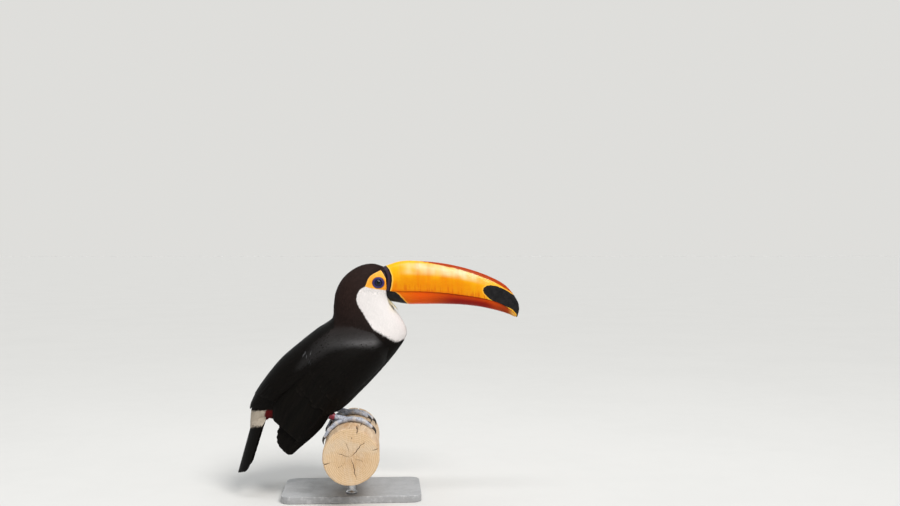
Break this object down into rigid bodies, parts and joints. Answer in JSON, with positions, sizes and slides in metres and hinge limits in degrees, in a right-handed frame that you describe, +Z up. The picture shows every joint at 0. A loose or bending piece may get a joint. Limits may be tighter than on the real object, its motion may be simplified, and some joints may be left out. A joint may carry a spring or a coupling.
{
  "type": "toco toucan on a perch",
  "caption": "Life-size still toco toucan gripping a short cut log, held over a flat display base by two short rods.",
  "frame": {"origin": "centre of the display base's underside, under the middle of the perch", "axes": "+X the way the bird faces and its bill points, +Y towards the bird's left, along the perch, +Z up"},
  "size_m": [0.4348, 0.2, 0.3609],
  "materials": {
    "plumage_black": "matte",
    "plumage_white": "matte",
    "bill_horn": "gloss",
    "eye": "gloss",
    "leg_skin": "satin",
    "claw_horn": "satin",
    "leg_ring": "satin",
    "perch_wood": "matte",
    "stand_base": "satin",
    "stand_rod": "satin"
  },
  "bodies": {
    "root": {"head": "plumage_black", "neck": "plumage_black", "trunk": "plumage_black", "rump": "plumage_white", "tail": "plumage_black", "bill_upper": "bill_horn", "bill_lower": "bill_horn", "wing_right": "plumage_black", "primaries_right": "plumage_black", "tertials_right": "plumage_black", "thigh_right": "plumage_black", "eye_right": "eye", "leg_right": "leg_skin", "claw_right_1": "claw_horn", "claw_right_2": "claw_horn", "claw_right_3": "claw_horn", "claw_right_4": "claw_horn", "wing_left": "plumage_black", "primaries_left": "plumage_black", "tertials_left": "plumage_black", "thigh_left": "plumage_black", "eye_left": "eye", "leg_left": "leg_skin", "claw_left_1": "claw_horn", "claw_left_2": "claw_horn", "claw_left_3": "claw_horn", "claw_left_4": "claw_horn", "leg_ring": "leg_ring", "perch": "perch_wood", "stand_base": "stand_base", "stand_rod_near": "stand_rod", "stand_rod_far": "stand_rod"}
  },
  "joints": []
}
